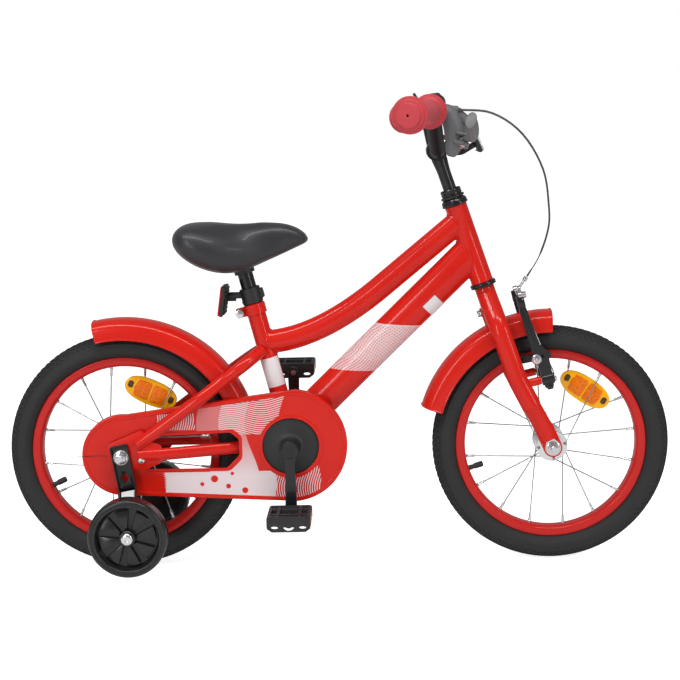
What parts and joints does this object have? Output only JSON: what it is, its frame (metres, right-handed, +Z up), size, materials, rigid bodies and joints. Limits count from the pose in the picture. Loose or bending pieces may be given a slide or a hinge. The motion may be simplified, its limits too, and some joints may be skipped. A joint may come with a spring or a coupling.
{
  "type": "kids bicycle",
  "caption": "Child's bicycle with oval twin main tubes, deep mudguards, closed chain guard, back-pedal hub, hand brake at the front, bell and a pair of stabilisers.",
  "frame": {"origin": "on the ground under the middle between the two axles, in the middle plane", "axes": "+X forward, +Y to the rider's left, +Z up; the chain is on the -Y side"},
  "size_m": [0.964, 0.4914, 0.6835],
  "materials": {
    "red_paint": "gloss enamel",
    "black_paint": "satin black enamel",
    "black_plastic": "moulded, fine grain",
    "grey_plastic": "moulded, satin",
    "tyre_rubber": "matte tread",
    "tube_rubber": "butyl, matte",
    "grip_rubber": "soft, matte",
    "saddle_vinyl": "smooth vinyl",
    "steel": "drawn",
    "zinc": "bright zinc",
    "chain_steel": "oiled",
    "orange_lens": "prismatic lens",
    "clear_lens": "prismatic lens",
    "cable_housing": "smooth sleeve"
  },
  "bodies": {
    "frame": {"head_tube": "red_paint", "top_tube": "red_paint", "down_tube": "red_paint", "seat_tube": "red_paint", "chain_stay_right": "red_paint", "chain_stay_left": "red_paint", "seat_stay_right": "red_paint", "seat_stay_left": "red_paint", "seat_clamp": "red_paint", "headset_lower_cup": "black_paint", "headset_upper_cup": "black_paint", "bottom_bracket": "steel", "rear_mudguard": "red_paint", "chain_guard": "red_paint", "chain": "chain_steel", "rear_axle": "zinc", "stabiliser_bracket_right": "black_paint", "stabiliser_bracket_left": "black_paint", "brake_reaction_arm": "zinc"},
    "steering": {"fork": "red_paint", "stem": "black_paint", "handlebar": "black_paint", "grip_right": "grip_rubber", "grip_left": "grip_rubber", "headset_locknut": "black_paint", "brake_lever_bracket": "grey_plastic", "brake_cable": "cable_housing", "front_reflector": "clear_lens", "bell_base": "black_plastic", "bell_dome": "black_paint", "front_axle": "zinc", "front_mudguard": "red_paint"},
    "front_wheel": {"front_tyre": "tyre_rubber", "front_inner_tube": "tube_rubber", "front_rim": "red_paint", "front_hub": "steel", "front_wheel_reflector": "orange_lens"},
    "rear_wheel": {"rear_tyre": "tyre_rubber", "rear_inner_tube": "tube_rubber", "rear_rim": "red_paint", "rear_hub": "steel", "rear_wheel_reflector": "orange_lens"},
    "rear_sprocket": {"rear_sprocket": "chain_steel"},
    "crank": {"chainring": "black_plastic", "crank_arm_right": "black_paint", "crank_arm_left": "black_paint"},
    "pedal_right": {"pedal_right": "black_plastic"},
    "pedal_left": {"pedal_left": "black_plastic"},
    "seat_post": {"seat_post": "black_paint", "saddle": "saddle_vinyl", "rear_reflector": "black_plastic"},
    "brake_arm_right": {"brake_arm_right": "black_plastic", "brake_pad_right": "black_plastic"},
    "brake_arm_left": {"brake_arm_left": "black_plastic", "brake_pad_left": "black_plastic", "brake_cable_guide": "zinc"},
    "brake_lever": {"brake_lever": "grey_plastic"},
    "bell_lever": {"bell_lever": "black_plastic"},
    "stabiliser_wheel_right": {"stabiliser_wheel_right": "black_plastic"},
    "stabiliser_wheel_left": {"stabiliser_wheel_left": "black_plastic"}
  },
  "joints": [
    {"name": "steering_turn", "type": "hinge", "parent": "frame", "child": "steering", "pos_m": [0.21426, 0, 0.40865], "axis": [-0.3173, 0, 0.9483], "range_deg": [-90, 90]},
    {"name": "front_wheel_spin", "type": "hinge", "parent": "steering", "child": "front_wheel", "pos_m": [0.31, 0, 0.172], "axis": [0, 1, 0], "continuous": true},
    {"name": "rear_wheel_spin", "type": "hinge", "parent": "frame", "child": "rear_wheel", "pos_m": [-0.31, 0, 0.172], "axis": [0, 1, 0], "continuous": true},
    {"name": "crank_turn", "type": "hinge", "parent": "frame", "child": "crank", "pos_m": [-0.0665, 0, 0.1815], "axis": [0, 1, 0], "continuous": true},
    {"name": "rear_sprocket_turn", "type": "hinge", "parent": "frame", "child": "rear_sprocket", "pos_m": [-0.31, 0, 0.172], "axis": [0, 1, 0], "continuous": true},
    {"name": "pedal_right_spin", "type": "hinge", "parent": "crank", "child": "pedal_right", "pos_m": [-0.0665, -0.118, 0.0925], "axis": [0, 1, 0], "continuous": true},
    {"name": "pedal_left_spin", "type": "hinge", "parent": "crank", "child": "pedal_left", "pos_m": [-0.0665, 0.118, 0.2705], "axis": [0, 1, 0], "continuous": true},
    {"name": "seat_post_slide", "type": "slide", "parent": "frame", "child": "seat_post", "axis": [-0.2453, 0, 0.9694], "range_m": [0, 0.05]},
    {"name": "brake_lever_pull", "type": "hinge", "parent": "steering", "child": "brake_lever", "pos_m": [0.1818, -0.1385, 0.61282], "axis": [-0.2079, -0.3411, -0.9167], "range_deg": [0, 25], "stiffness_Nm_per_rad": 0.6, "springref_deg": -14.32},
    {"name": "brake_arm_right_swing", "type": "hinge", "parent": "steering", "child": "brake_arm_right", "pos_m": [0.29443, -0.042, 0.26992], "axis": [0.9748, 0, 0.2233], "range_deg": [-3.3, 0]},
    {"name": "brake_arm_left_swing", "type": "hinge", "parent": "steering", "child": "brake_arm_left", "pos_m": [0.29443, 0.042, 0.26992], "axis": [0.9748, 0, 0.2233], "range_deg": [0, 3.3]},
    {"name": "bell_lever_push", "type": "hinge", "parent": "steering", "child": "bell_lever", "pos_m": [0.14581, 0.1045, 0.66605], "axis": [0.3206, 0, 0.9472], "range_deg": [0, 25], "stiffness_Nm_per_rad": 0.05, "springref_deg": -11.46},
    {"name": "stabiliser_right_spin", "type": "hinge", "parent": "frame", "child": "stabiliser_wheel_right", "pos_m": [-0.293, -0.129, 0.0724], "axis": [0, 1, 0], "continuous": true},
    {"name": "stabiliser_left_spin", "type": "hinge", "parent": "frame", "child": "stabiliser_wheel_left", "pos_m": [-0.293, 0.129, 0.0724], "axis": [0, 1, 0], "continuous": true}
  ],
  "couplings": [
    {"joint": "rear_sprocket_turn", "follows": "crank_turn", "ratio": 1.75},
    {"joint": "brake_arm_right_swing", "follows": "brake_lever_pull", "ratio": -0.13},
    {"joint": "brake_arm_left_swing", "follows": "brake_lever_pull", "ratio": 0.13}
  ]
}
